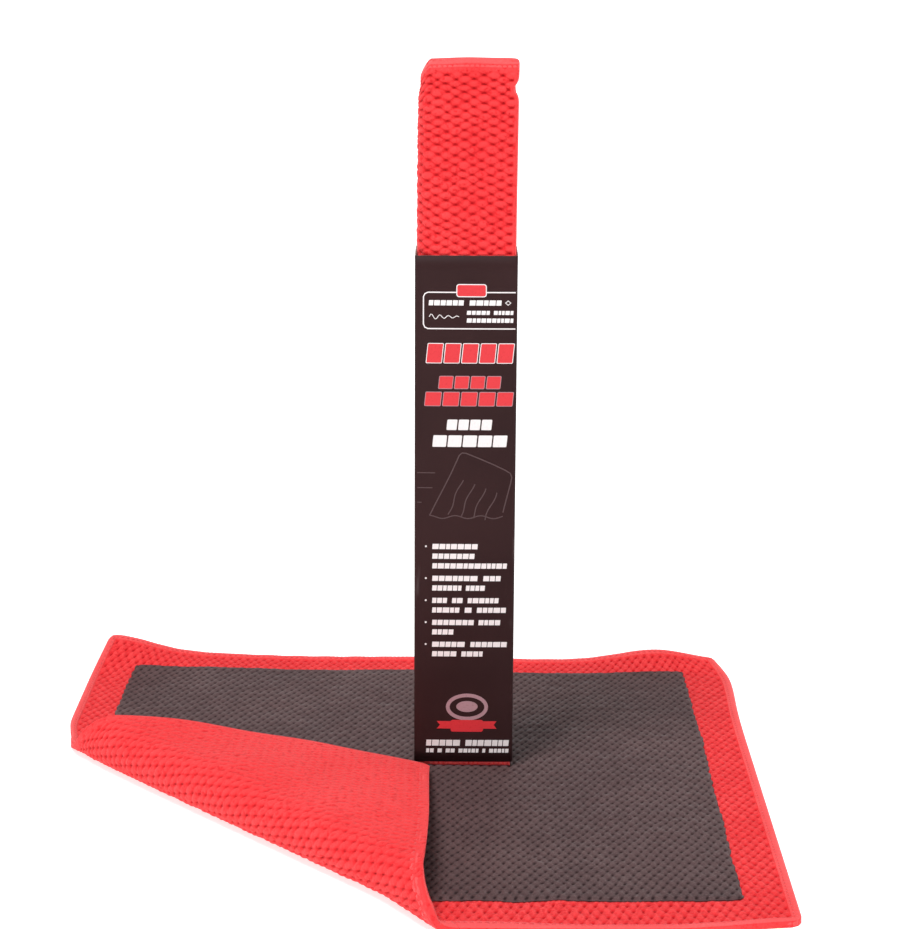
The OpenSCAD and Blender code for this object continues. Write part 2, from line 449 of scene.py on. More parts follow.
def rounded(x, y, half, r):
    """Draws the grid's four corner squares into quarter discs."""
    a = np.clip((np.abs(x) - (half - r)) / r, 0, 1)
    b = np.clip((np.abs(y) - (half - r)) / r, 0, 1)
    inside = (a > 0) & (b > 0)
    new_x = np.sign(x) * (half - r + r * a * np.sqrt(1 - b * b / 2))
    new_y = np.sign(y) * (half - r + r * b * np.sqrt(1 - a * a / 2))
    return np.where(inside, new_x, x), np.where(inside, new_y, y)


def open_grid(half, r, step_x, step_y, folded):
    """The open towel's grid on one side of the fold, its edge drawn onto the fold line."""
    x, y = np.meshgrid(knit_lines(half, step_x), knit_lines(half, step_y), indexing="ij")
    past = past_fold(x, y)
    middle = (past[1:, 1:] + past[:-1, :-1] + past[1:, :-1] + past[:-1, 1:]) / 4
    keep = (middle > 0) == folded

    def touched(cell):
        """The points that have such a cell beside them."""
        return sum(np.pad(cell, ((i, 1 - i), (j, 1 - j))) for i in (0, 1) for j in (0, 1)) > 0

    edge = touched(keep) & touched(~keep)
    on_left, on_front = x <= -half + 1e-6, y <= -half + 1e-6
    move_x = np.where(on_front, past / INWARD[0], np.where(on_left, 0, past * INWARD[0]))
    move_y = np.where(on_left, past / INWARD[1], np.where(on_front, 0, past * INWARD[1]))
    x, y = np.where(edge, x + move_x, x), np.where(edge, y + move_y, y)
    return (*rounded(x, y, half, r), keep)


def from_edge(x, y, half):
    return half - np.maximum(np.abs(x), np.abs(y))


def cloth_over(x, y):
    """Height of the cloth's top face: pearls in the bare margin, a flat bed under the clay."""
    h = knit_over(x, y)
    inset = from_edge(x, y, HALF)
    bare = smooth(-1.5, 0.5, MARGIN - inset)
    fade = smooth(1.5, 4.5, inset)
    top = CLOTH_T - (1 - h) * PEARL_DEPTH * fade
    bed = CLAY_BED - 0.4
    return top * bare + bed * (1 - bare), (1 - h) * fade


def cloth_under(x, y):
    """The knit of the underside, pressed flatter where the corner is folded over."""
    pressed = 0.9 - 0.48 * smooth(0.6 * FOLD_ARC, FOLD_ARC + 8, past_fold(x, y))
    pits = 1 - pearl(*knit_place(x, y), seed=3)
    deep = pits * smooth(1.5, 5, from_edge(x, y, HALF)) * pressed
    return deep * PEARL_DEPTH, deep


def clay_over(x, y):
    """The clay's top face: it dips between the pearls and thins out at its edge."""
    h = knit_over(x, y)
    lip = 0.35 + 0.65 * smooth(-0.2, 1.8, from_edge(x, y, CLAY_HALF))
    low = CLAY_BED + 0.1
    return low + (CLAY_TOP - low - (1 - h) * 0.85) * lip, 1 - h


def scalloped(x, y):
    """Draws the clay's edges along the pearls under them."""
    near = 1 - smooth(0, 4, from_edge(x, y, CLAY_HALF))
    push = 0.8 * (knit_over(x, y) - 0.7) * near + 0.2 * wander(x, y, 60, 17) * near
    push = np.where(np.abs(past_fold(x, y)) < 2.5, 0, push)  # the cut stays straight
    sideways = np.abs(x) > np.abs(y)
    return (x + np.where(sideways, np.sign(x) * push, 0),
            y + np.where(sideways, 0, np.sign(y) * push))


# ---- hems and stitches

SIDES = {  # flat point from s along a side and e in from it
    "front": lambda s, e: (-HALF + s, -HALF + e),
    "right": lambda s, e: (HALF - e, -HALF + s),
    "back": lambda s, e: (HALF - s, HALF - e),
    "left": lambda s, e: (-HALF + e, HALF - s),
}


def fold_at(side, e):
    """How far along a side the fold line crosses it."""
    if side == "front":
        return (FOLD_REACH - e * INWARD[1]) / INWARD[0]
    return SIDE - (FOLD_REACH - e * INWARD[0]) / INWARD[1]


def hem_section(width, low, high, groove_at, n=30):
    """Closed outline of a rolled hem: (e, w) points, with a sunk seam on both faces."""
    turn = np.linspace(0, 2 * math.pi, n, endpoint=False) + math.pi / n
    c, s = np.cos(turn), np.sin(turn)
    e = width / 2 - width / 2 * np.sign(c) * np.abs(c) ** 0.72
    w = np.sign(s) * np.abs(s) ** 0.72
    pinch = 1 - 0.3 * hill(e, groove_at, 0.55)
    return e, (low + high) / 2 + (high - low) / 2 * w * pinch


def sweep(name, section, s_start, s_end, at, seed):
    """A rolled hem along a side. s_start and s_end give each section point's own ends, so that
    two hems meet on a mitre. at lays (s, e, w) out in space."""
    e, w = section
    a, b = s_start(e), s_end(e)
    n = round(float(np.mean(b - a)))  # about one ring to the millimetre
    t = np.linspace(0, 1, n + 1)[:, None]
    s = a + (b - a) * t
    rib = 1 + 0.035 * np.sin(s * math.tau / RIB) + 0.05 * wander(s, e * 3, 19, seed)
    mid = (w.max() + w.min()) / 2
    height = np.clip(mid + (w - mid) * rib, w.min(), w.max())
    points = at(s, e + 0 * s, height)
    return add_mesh(name, points, [tube_faces(n, len(e)), *tube_caps(n, len(e))], HEM)


def laid_side(side):
    """Lays (s, e, w) of one of the open towel's sides out in space."""
    cut = fold_at("front", 0)

    def at(s, e, w):
        if side == "front":
            e = e * (1 + (CORNER_HEM_SHARE - 1) * smooth(cut + 50, cut + 5, s))
        x, y = rounded(*SIDES[side](s, e), HALF, CORNER_R)
        return lay(x, y, w)
    return at


def stitches(name, rows):
    """Sewing stitches: short fat threads, one after another, in each row's (at, s values, e, w,
    up), where up is the side of the cloth that they stand out of."""
    along = np.array([-1.15, -0.8, 0, 0.8, 1.15])
    fat = np.array([0.16, 0.3, 0.36, 0.3, 0.16])
    rise = np.array([-0.5, -0.1, 0.12, -0.1, -0.5])
    n, k = len(along) - 1, 6
    ring = np.linspace(0, 2 * math.pi, k, endpoint=False)
    tube = tube_faces(n, k)
    points, faces, ends = [], [], []
    base = 0
    for at, places, e, w, up in rows:
        for place in places:
            s = place + along[:, None] + 0 * ring
            de = fat[:, None] * np.cos(ring) + along[:, None] * 0.07
            dw = fat[:, None] * np.sin(ring) + rise[:, None]
            points.append(at(s, e + de, w + up * dw).reshape(-1, 3))
            faces.append(tube[:, ::-up] + base)
            cap = np.arange(k) + base
            ends += [cap[::up], cap[::-up] + n * k]
            base += (n + 1) * k
    return add_mesh(name, np.vstack(points), [np.vstack(faces), np.array(ends)], THREAD)


# ---- materials

def material(name, roughness, **sockets):
    """A new node material: returns it, its tree and its shader, with plain values set."""
    m = bpy.data.materials.new(name)
    m.use_nodes = True
    tree = m.node_tree
    shader = tree.nodes["Principled BSDF"]
    for key, value in {"Roughness": roughness, **sockets}.items():
        shader.inputs[key.replace("_", " ")].default_value = value
    return m, tree, shader


def feed(socket, value):
    """Links a socket to another one, or sets it to a plain value."""
    if isinstance(value, bpy.types.NodeSocket):
        socket.id_data.links.new(value, socket)
    else:
        socket.default_value = value


def node(tree, kind, **values):
    """A new node with the given inputs and settings."""
    made = tree.nodes.new(kind)
    for key, value in values.items():
        if key in made.inputs:
            feed(made.inputs[key], value)
        else:
            setattr(made, key, value)
    return made


def noise(tree, scale, detail=3, stretch=None):
    """Noise in object space; scale is in waves to the metre."""
    at = node(tree, "ShaderNodeTexCoord").outputs["Object"]
    if stretch:
        at = node(tree, "ShaderNodeMapping", Vector=at, Scale=stretch).outputs["Vector"]
    made = node(tree, "ShaderNodeTexNoise", Vector=at, Scale=scale, Detail=detail)
    return made.outputs["Fac"]


def mark(tree, name):
    """The named point value of a mesh."""
    return node(tree, "ShaderNodeAttribute", attribute_name=name).outputs["Fac"]


def mix(tree, factor, a, b):
    """A colour mix. factor, a and b are sockets, or plain values."""
    made = node(tree, "ShaderNodeMix", data_type="RGBA")
    for k, value in ((0, factor), (6, a), (7, b)):  # its colour inputs
        feed(made.inputs[k], value)
    return made.outputs[2]


def ramp(tree, source, low, high, out=(0, 1)):
    """A soft step over the source's values from low to high."""
    made = node(tree, "ShaderNodeMapRange", Value=source, interpolation_type="SMOOTHSTEP")
    for key, value in zip(("From Min", "From Max", "To Min", "To Max"), (low, high, *out)):
        made.inputs[key].default_value = value
    return made.outputs["Result"]


def layered(tree, colour, *layers):
    """A colour with (source, low, high, colour) layers over it, each let in by its source."""
    for source, low, high, over in layers:
        colour = mix(tree, ramp(tree, source, low, high), colour, over)
    return colour


def paint(tree, shader, colour, *bumps):
    """Links a colour, and a stack of (height socket, strength, distance in metres) bumps."""
    feed(shader.inputs["Base Color"], colour)
    below = {}
    for height, strength, distance in bumps:
        made = node(tree, "ShaderNodeBump", Height=height, Strength=strength, Distance=distance,
                    **below)
        below = {"Normal": made.outputs["Normal"]}
    for key, value in below.items():
        feed(shader.inputs[key], value)


def cloth_material(name, lit, shade, pitted=True):
    """Microfibre: lint-soft, lighter on the pearls and dark in the pits, where shade is painted by
    the depth mark.
    """
    m, tree, shader = material(name, 0.9, Sheen_Weight=0.2, Sheen_Roughness=0.45,
                               Sheen_Tint=(1, 0.55, 0.55, 1), Specular_IOR_Level=0.15)
    lint, strands = noise(tree, 1500, 4), noise(tree, 900, 2, stretch=(1, 3, 1))
    loops, deep = noise(tree, 560, 2), mark(tree, "deep")
    colour = layered(tree, lit, (noise(tree, 26, 2), 0.3, 0.7, shade), (lint, 0.35, 0.75, shade))
    if pitted:
        # painted shade: the creases and pits between the pearls darken with their depth mark, and
        # the loops noise adds random darker flecks
        colour = layered(tree, colour, (loops, 0.5, 0.26, RED_CREASE_SHADE),
                         (deep, 0.1, 0.5, RED_CREASE_SHADE), (deep, 0.36, 0.86, RED_PIT_SHADE))
    paint(tree, shader, colour, (lint, 0.5, 0.0004), (strands, 0.35, 0.0005),
          (loops, 0.5, 0.0012))
    return m


def clay_material():
    """Dull clay, smeared along one way, with painted shade darkening its dimples."""
    m, tree, shader = material("polymer_clay", 0.6, Specular_IOR_Level=0.12)
    grain, smear = noise(tree, 1300, 4), noise(tree, 60, 3, stretch=(1, 4, 1))
    # the last layer paints shade into the dimples, by their depth mark
    colour = layered(tree, CLAY_LIT, (noise(tree, 18), 0.3, 0.7, CLAY_SHADE),
                     (grain, 0.5, 0.8, CLAY_SPECK), (mark(tree, "deep"), 0.08, 0.8, CLAY_PIT_SHADE))
    feed(shader.inputs["Roughness"], ramp(tree, smear, 0.2, 0.8, (0.4, 0.62)))
    paint(tree, shader, colour, (grain, 0.35, 0.0003), (smear, 0.15, 0.001))
    return m


def thread_material():
    m, tree, shader = material("sewing_thread", 0.6, Sheen_Weight=0.2)
    at = node(tree, "ShaderNodeTexCoord").outputs["Object"]
    twist = node(tree, "ShaderNodeTexWave", Vector=at, Scale=900, Distortion=1,
                 bands_direction="DIAGONAL").outputs["Fac"]
    colour = mix(tree, twist, (0.74, 0.035, 0.040, 1), (0.90, 0.070, 0.075, 1))
    paint(tree, shader, colour, (twist, 0.5, 0.0002))
    return m


def card_material():
    """Coated black card outside, plain board inside, paler where creases have worn."""
    m, tree, shader = material("printed_card", 0.5, Specular_IOR_Level=0.12)
    grain, cloud = noise(tree, 700, 4), noise(tree, 14)
    scuff = ramp(tree, noise(tree, 160, 5, stretch=(1, 1, 0.2)), 0.55, 0.72)
    worn = node(tree, "ShaderNodeMath", operation="MULTIPLY")
    feed(worn.inputs[0], mark(tree, "crease"))
    feed(worn.inputs[1], scuff)
    ink = layered(tree, CARD_LIT, (cloud, 0.3, 0.7, CARD_SHADE))
    ink = mix(tree, worn.outputs[0], ink, CARD_WORN)
    board = layered(tree, BOARD_DARK, (grain, 0.3, 0.7, BOARD_PALE))
    paint(tree, shader, mix(tree, mark(tree, "inside"), ink, board),
          (grain, 0.12, 0.0002), (cloud, 0.2, 0.004))
    return m


def ink_material(name, colour, worn):
    """Printing ink with faint mottling."""
    m, tree, shader = material(name, 0.42, Specular_IOR_Level=0.3)
    speck = noise(tree, 1100)
    paint(tree, shader, layered(tree, colour, (speck, 0.5, 0.85, worn)), (speck, 0.1, 0.0002))
    return m


def glue_material():
    m, tree, shader = material("dried_glue", 0.3)
    blotch = noise(tree, 220)
    tint = mix(tree, blotch, (0.62, 0.52, 0.33, 1), (0.78, 0.70, 0.52, 1))
    paint(tree, shader, tint, (blotch, 0.4, 0.0005))
    return m


def pale_material(name, low, high, glow):
    """A near-white stage surface with a glow of its own; low and high are its greys."""
    m, tree, shader = material(name, 0.9, Specular_IOR_Level=0, Emission_Color=(1, 1, 1, 1),
                               Emission_Strength=glow)
    paint(tree, shader, mix(tree, noise(tree, 3, 2), (low, low, low, 1), (high, high, high, 1)))
    return m


RED_LIT = (0.94, 0.066, 0.070, 1)
RED_SHADE = (0.88, 0.046, 0.050, 1)
# painted shade for the knit's creases and pits
RED_CREASE_SHADE = (0.74, 0.020, 0.025, 1)
RED_PIT_SHADE = (0.42, 0.0015, 0.005, 1)
HEM_LIT = (0.96, 0.122, 0.125, 1)
HEM_SHADE = (0.92, 0.088, 0.092, 1)
CLAY_LIT = (0.119, 0.070, 0.070, 1)
CLAY_SHADE = (0.094, 0.055, 0.056, 1)
CLAY_SPECK = (0.165, 0.108, 0.108, 1)
# painted shade for the clay's dimples
CLAY_PIT_SHADE = (0.025, 0.012, 0.013, 1)
CARD_LIT = (0.036, 0.014, 0.0145, 1)
CARD_SHADE = (0.027, 0.010, 0.0105, 1)
CARD_WORN = (0.12, 0.09, 0.09, 1)
BOARD_DARK = (0.42, 0.38, 0.33, 1)
BOARD_PALE = (0.55, 0.51, 0.46, 1)

KNIT = cloth_material("microfibre_knit", RED_LIT, RED_SHADE)
HEM = cloth_material("hem_knit", HEM_LIT, HEM_SHADE, pitted=False)
CLAY = clay_material()
THREAD = thread_material()
CARD = card_material()
GLUE = glue_material()
WHITE_INK = ink_material("white_ink", (0.86, 0.82, 0.82, 1), (0.76, 0.71, 0.71, 1))
RED_INK = ink_material("red_ink", (0.72, 0.035, 0.045, 1), (0.60, 0.025, 0.032, 1))
GREY_INK = ink_material("grey_ink", (0.085, 0.047, 0.049, 1), (0.062, 0.032, 0.034, 1))
SILVER_INK = ink_material("silver_ink", (0.44, 0.26, 0.29, 1), (0.30, 0.17, 0.19, 1))


# ---- pieces: the open towel

def open_cloth(name, folded):
    """The knit on one side of the fold. Only the corner shows its underside."""
    fine_x, fine_y = (7, 12) if folded else (4, 8)  # grid steps to one pearl
    x, y, keep = open_grid(HALF, CORNER_R, PEARL_L / fine_x, PEARL_W / fine_y, folded)
    over = (x, y, keep, *cloth_over(x, y))
    if folded:
        under = (x, y, keep, *cloth_under(x, y))
    else:
        x, y, keep = open_grid(HALF, CORNER_R, 3.1, 3.1, False)
        # a fixed depth mark of 0.2 lets in a little of the painted crease shade
        under = (x, y, keep, 0 * x, 0 * x + 0.2)
    return slab(name, over, under, lay, KNIT)


def open_clay(name, folded):
    x, y, keep = open_grid(CLAY_HALF, CLAY_R, PEARL_L / 4, PEARL_W / 8, folded)
    over = (*scalloped(x, y), keep, *clay_over(x, y))
    x, y, keep = open_grid(CLAY_HALF, CLAY_R, 3, 3, folded)
    under = (*scalloped(x, y), keep, 0 * x + CLAY_BED, 0 * x)
    return slab(name, over, under, lay, CLAY)


def open_hem(name, side, folded=False):
    """A hem along one side: all of it, or where the fold crosses it, the laid or folded end."""
    ends = [lambda e: np.maximum(e, 0), lambda e: SIDE - np.maximum(e, 0)]
    if side in ("front", "left"):
        ends[int((side == "front") == folded)] = lambda e: fold_at(side, e)
    width = HEM_W[side]
    section = hem_section(width, 0, HEM_T, width * STITCH_SHARE)
    return sweep(name, section, *ends, laid_side(side), seed=31 + len(name))


def open_stitches(name, folded):
    rows = []
    for side in SIDES:
        seam = HEM_W[side] * STITCH_SHARE
        low, high = seam + 1.5, SIDE - seam - 1.5
        if side in ("front", "left"):
            cut = fold_at(side, seam)
            low, high = (low, cut - 1.5) if (side == "front") == folded else (cut + 1.5, high)
        elif folded:
            continue
        places = np.arange(low, high, STITCH_STEP)
        rows.append((laid_side(side), places, seam, HEM_T - STITCH_SINK, 1))
        if folded:
            rows.append((laid_side(side), places, seam, STITCH_SINK, -1))
    return stitches(name, rows)


# ---- pieces: the folded towel

def pack_lines(low, high, fine_step, coarse_step):
    """Places along the section: close together on the outer layers and round every bend."""
    out = [low]
    for k in range(len(STARTS) - 1):
        a, b = max(STARTS[k], low), min(STARTS[k + 1], high)
        if b > a:
            step = fine_step if k >= SEEN_RUN else (b - a) / 6 if k % 2 else coarse_step
            out += list(lines(a, b, step)[1:])
    return np.array(out)


def pack_cloth(name):
    """The knit through all the folds, with pearls on the layer that is on show."""
    low, high, split = PACK_MARGIN, SIDE - PACK_MARGIN, SLEEVE_H - 6
    rows = [*lines(low, split, PEARL_L / 5), *lines(split, high, PEARL_L / 8)[1:]]
    p, up = np.meshgrid(pack_lines(low, PATH_L - low, 0.75, 5), rows, indexing="ij")
    pits = 1 - pearl(p * SIDE / PATH_L, up, seed=9)
    shown = smooth(STARTS[SEEN_RUN] - 2, STARTS[SEEN_RUN] + 3, p)
    fade = smooth(2.8, 5, SIDE / 2 - np.abs(up - SIDE / 2)) * smooth(0.8, 2.2, PATH_L - p)
    deep = pits * shown * fade
    under = (p, up, every_cell(p), deep * PACK_PEARL_DEPTH, deep)
    p, up = np.meshgrid(pack_lines(low, PATH_L - low, 3.5, 3.5), lines(low, high, 4.5),
                        indexing="ij")
    # a fixed depth mark of 0.4 gives this inner face mostly the painted crease shade
    over = (p, up, every_cell(p), 0 * p + LAYER_CLOTH, 0 * p + 0.4)
    return slab(name, over, under, stack, KNIT)


def pack_clay(name):
    inset = MARGIN * PATH_L / SIDE
    p, up = np.meshgrid(pack_lines(inset, PATH_L - inset, 2, 2.5),
                        lines(MARGIN, SIDE - MARGIN, PEARL_L), indexing="ij")
    over, under = ((p, up, every_cell(p), 0 * p + w, 0 * p) for w in (LAYER_T, LAYER_CLOTH))
    return slab(name, over, under, stack, CLAY)


def pack_end_hem(name, top):
    """The hem across the pack's top or foot end: it follows the section through every layer."""
    e, w = hem_section(PACK_HEM_W, -0.05, LAYER_T + 0.05, STITCH_LINE, n=22)
    p = pack_lines(0, PATH_L, 1, 2)[:, None]
    up = SIDE - e if top else e
    mid = LAYER_T / 2
    height = mid + (w - mid) * (1 + 0.03 * np.sin(p * math.tau / RIB))
    points = stack(p + 0 * e, up + 0 * p, np.clip(height, -0.05, LAYER_T + 0.05))
    faces = [tube_faces(len(p) - 1, len(e)), *tube_caps(len(p) - 1, len(e))]
    return add_mesh(name, points, [f[:, ::-1] for f in faces] if top else faces, HEM)


def pack_free_hem(name, outer):
    """The narrow rolled hem along one of the two free edges."""
    section = hem_section(1.9, 0.1, LAYER_T - 0.1, 1.4, n=22)
    inset = PACK_HEM_W * 0.9
    return sweep(name, section, lambda e: 0 * e + inset, lambda e: 0 * e + SIDE - inset,
                 lambda s, e, w: stack(PATH_L - e, s, w) if outer else stack(e, SIDE - s, w),
                 seed=41)


def pack_stitches(name):
    rows = []
    places = np.arange(STARTS[SEEN_RUN + 1] + 2, PATH_L - 4, STITCH_STEP)
    for up in (STITCH_LINE, SIDE - STITCH_LINE):
        rows.append((lambda s, e, w, up=up: stack(s, up + e, w), places, 0, 0.42, -1))
    return stitches(name, rows)


# ---- pieces: the sleeve

def sleeve_front(u, v):
    """The front panel's outer face, which bows out a little: u from its left edge, v up."""
    bow = 0.28 * (1 - (2 * u / SLEEVE_W - 1) ** 2) * (0.55 + 0.45 * np.sin(math.pi * v / SLEEVE_H))
    return SLEEVE_LOW[1] - bow


def sleeve_card(name):
    """The card tube: flat panels, rounded creases, and a thin wall with a plain inner face."""
    def outline(inset, r):
        w, d = SLEEVE_W - 2 * inset, SLEEVE_D - 2 * inset
        arcs = []
        for k, centre in enumerate(((w - r, r), (w - r, d - r), (r, d - r), (r, r))):
            turn = np.radians(np.linspace(-90, 0, 6) + 90 * k)
            arcs.append(centre + r * np.stack([np.cos(turn), np.sin(turn)], 1))
        sides = [np.linspace(a[-1], b[0], 15)[1:-1] for a, b in zip(arcs, arcs[1:] + arcs[:1])]
        return np.concatenate([p for pair in zip(arcs, sides) for p in pair]).T + inset

    rings = lines(0, SLEEVE_H, 7)
    points, inside, crease = [], [], []
    for face, (u, v) in enumerate((outline(0, 1), outline(CARD_T, 0.6))):
        for z in rings:
            bow = sleeve_front(u, z) - SLEEVE_LOW[1]
            y = SLEEVE_LOW[1] + v + bow * smooth(SLEEVE_D * 0.6, 0, v) * (v < SLEEVE_D / 2)
            foot = CARD_FOOT * (z == 0) * smooth(SLEEVE_D - 2, 2, v)
            points.append(np.stack([SLEEVE_LOW[0] + u, y, SLEEVE_LOW[2] + z + foot], 1))
            inside.append(np.full(len(u), float(face)))
            corner = np.minimum(u, SLEEVE_W - u) + np.minimum(v, SLEEVE_D - v)
            crease.append(1 - np.minimum(corner, 3) / 3)
    n, k = len(rings) - 1, len(u)
    tube = tube_faces(n, k)
    ring = np.arange(k)
    after, top, shift = (ring + 1) % k, n * k, (n + 1) * k
    foot = np.stack([ring, ring + shift, after + shift, after], 1)
    head = np.stack([ring, after, after + shift, ring + shift], 1) + top
    return add_mesh(name, np.vstack(points), [tube, tube[:, ::-1] + shift, foot, head], CARD,
                    {"inside": np.concatenate(inside), "crease": np.concatenate(crease)})


def oval(u, v, half_u, half_v, n=40):
    return [(u + half_u * math.cos(t), v + half_v * math.sin(t))
            for t in np.linspace(0, 2 * math.pi, n, endpoint=False)]


def row(v, u0, u1, n=12):
    return [(u, v) for u in np.linspace(u0, u1, n)]


class Print:
    """One ink's shapes on the sleeve's front: thin closed prisms that follow its bow."""

    def __init__(self, level):
        self.level, self.points, self.faces, self.count = level, [], [], 0

    def shape(self, outline):
        """A filled outline, anticlockwise, of (u, v) points."""
        u, v = np.array(outline, float).T
        n = len(u)
        for proud in (self.level, -0.12):
            y = sleeve_front(u, v) - proud
            self.points.append(np.stack([SLEEVE_LOW[0] + u, y, SLEEVE_LOW[2] + v], 1))
        ring = np.arange(n) + self.count
        after = np.roll(ring, -1)
        self.faces += [ring[None], ring[None, ::-1] + n,
                       np.stack([ring, ring + n, after + n, after], 1)]
        self.count += 2 * n

    def bar(self, u0, u1, v0, v1, r=0.4, slant=0.0):
        """A bar with rounded corners."""
        r = min(r, (u1 - u0) / 2.01, (v1 - v0) / 2.01)
        out = []
        for cu, cv, turn in ((u1 - r, v0 + r, -90), (u1 - r, v1 - r, 0), (u0 + r, v1 - r, 90),
                             (u0 + r, v0 + r, 180)):
            for t in np.radians(np.linspace(turn, turn + 90, 4)):
                v = cv + r * math.sin(t)
                out.append((cu + r * math.cos(t) + slant * (v - v0), v))
        self.shape(out)

    def line(self, path, width, closed=False):
        """A line of the given width along (u, v) points."""
        path = np.array(path, float)
        if closed:
            ahead, behind = np.roll(path, -1, 0), np.roll(path, 1, 0)
        else:
            ahead = np.vstack([path[1:], 2 * path[-1:] - path[-2:-1]])
            behind = np.vstack([2 * path[:1] - path[1:2], path[:-1]])
        step = ahead - behind
        step /= np.linalg.norm(step, axis=1)[:, None]
        side = np.stack([-step[:, 1], step[:, 0]], 1) * width / 2
        left, right = path + side, path - side
        n = len(path)
        for i in range(n if closed else n - 1):
            j = (i + 1) % n
            self.shape([right[i], right[j], left[j], left[i]])

    def add(self, name, ink):
        piece = add_mesh(name, np.vstack(self.points), self.faces, ink, flat=True)
        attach(piece, "sleeve")


def block_words(ink, u0, u1, v0, height, words, slant=0.08):
    """A line of print with no letters in it: each word is a row of plain uneven blocks."""
    sizes = [[0.75 + 0.5 * chance(i, j + round(v0 * 10), 3) for i in range(n)]
             for j, n in enumerate(words)]
    unit = (u1 - u0) / (sum(map(sum, sizes)) + 0.75 * (len(words) - 1))
    u = u0
    for word in sizes:
        for size in word:
            ink.bar(u + 0.16, u + unit * size - 0.16, v0, v0 + height, 0.12, slant)
            u += unit * size
        u += 0.75 * unit


def block_title(ink, rim, u0, u1, v0, height, count, edge):
    """A row of slanted blocks, each with a thin outline if there is a rim ink."""
    step = (u1 - u0) / count
    for k in range(count):
        a, b = u0 + k * step + 0.15, u0 + (k + 1) * step - 0.45
        if rim:
            rim.bar(a, b, v0, v0 + height, 0.5, 0.1)
            ink.bar(a + edge * 1.1, b - edge * 0.9, v0 + edge, v0 + height - edge, 0.3, 0.1)
        else:
            ink.bar(a, b, v0, v0 + height, 0.4, 0.1)


def print_heading(white, red, silver):
    """A small badge on an empty frame, then the large rows."""
    white.bar(17.2, 29.8, 205.7, 211.2, 1.1)
    red.bar(17.6, 29.4, 206.1, 210.8, 0.8)
    right = SLEEVE_W - 0.8
    white.line([(right, 207.7), *row(207.7, 40, 5.5), (4.2, 207.1), (3.6, 205.9),
                (3.6, 194.3), (4.2, 193), (5.5, 192.4), *row(192.4, 8, 40),
                (right, 192.4)], 0.5)
    block_words(white, 5.6, 36, 202.2, 2.2, (6, 5))
    white.line([(37.6, 203.3), (38.7, 204.2), (39.8, 203.3), (38.7, 202.4)], 0.4, closed=True)
    block_words(white, 21.4, 41, 198.3, 1.7, (5, 5))
    block_words(white, 21.4, 41, 195, 1.8, (10,))
    wave = [(6 + 0.62 * k, 197.4 + 1.3 * math.sin(k * 1.1) * math.exp(-k / 16)) for k in range(21)]
    white.line(wave, 0.3)
    block_title(red, white, 4.4, 41.3, 177.7, 8.6, 5, 0.3)
    block_title(red, silver, 9.6, 36.2, 166.8, 5.6, 4, 0.25)
    block_title(red, silver, 3.8, 41.4, 159.4, 6.2, 5, 0.25)
    block_title(white, None, 13.2, 32.6, 149.2, 4.5, 4, 0)
    block_title(white, None, 7.3, 39, 141.9, 5, 5, 0)


def print_drawing(grey):
    """A plain line drawing of a wiping cloth, with three strokes behind it."""
    grey.line([(6.4, 112), (9.4, 118.2), (12.5, 124.4), (15.6, 130.8), (17.6, 135.4),
               (18.8, 138.2), (20, 139.3), (21.6, 139.2), (27, 137), (33, 134.4),
               (38, 132), (40.4, 130.5), (41, 128.8), (40.6, 126.4), (38.9, 119.6),
               (37.4, 113.4)], 0.5)
    for k in range(4):
        fold = [(14.2 + 5.2 * k + 0.40 * t + 0.5 * math.sin(t * 0.5 + k), 112.5 + t - 0.8 * k)
                for t in np.linspace(0, 15 - k, 12)]
        grey.line(fold, 0.45)
    foot = [(6.4 + t, 112 - 1.3 * math.sin(t * 0.29) ** 2) for t in np.linspace(0, 31, 30)]
    grey.line(foot, 0.45)
    for v, u1 in ((130.6, 8.7), (124.1, 7.6), (117.7, 3)):
        grey.line(row(v, 1.2, u1, 4), 0.4)


def print_list(white):
    """Five marked entries, each of two or three lines: (width, words) of each line."""
    entries = (
        ((19.5, (7,)), (18.2, (7,)), (32, (13,))), ((29.4, (7, 3)), (22.7, (6, 4))),
        ((28.6, (3, 2, 6)), (31.8, (5, 1, 5))), ((29.4, (7, 4)), (9.4, (4,))),
        ((32.3, (5, 6)), (22, (4, 4))),
    )
    v = 97.2
    for entry in entries:
        white.shape(oval(4.9, v + 1.2, 0.42, 0.42, 12))
        for width, words in entry:
            block_words(white, 7.4, 7.4 + width, v, 2.3, words)
            v -= 4.28
        v -= 1.27


def print_badge(white, red, silver, rim):
    """A plain medal over a ribbon, and two last lines."""
    silver.line(oval(22.8, 26.4, 8.3, 5.3), 1.6, closed=True)
    silver.shape(oval(22.8, 26.6, 4.6, 2.5))
    red.shape([(9.8, 16.5), (12.4, 16.5), (33.4, 16.5), (33.4, 19.9), (9.8, 19.9), (11.2, 18.2)])
    red.shape([(33.4, 16.5), (35.6, 16.5), (34.4, 18.2), (35.6, 19.9), (33.4, 19.9)])
    rim.bar(15.8, 29.8, 15.1, 20.5, 0.9)
    block_words(white, 5, 41, 8.6, 2.7, (5, 7))
    block_words(white, 5, 41, 5.5, 1.8, (2, 1, 2, 5, 1, 5))


def sleeve_print():
    """Plain stand-ins for the sleeve's printing, in its places, sizes and colours."""
    white, red, grey, silver = Print(0.05), Print(0.075), Print(0.045), Print(0.055)
    rim = Print(0.09)
    print_heading(white, red, silver)
    print_drawing(grey)
    print_list(white)
    print_badge(white, red, silver, rim)
    for ink, name, made in ((white, "white_print", WHITE_INK), (red, "red_print", RED_INK),
                            (grey, "grey_print", GREY_INK), (silver, "silver_print", SILVER_INK),
                            (rim, "ribbon_band", RED_INK)):
        ink.add(name, made)


# ---- building

def bend_with_corner(piece):
    """Bakes a piece's placement into its points; the piece is put on no body."""
    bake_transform(piece)


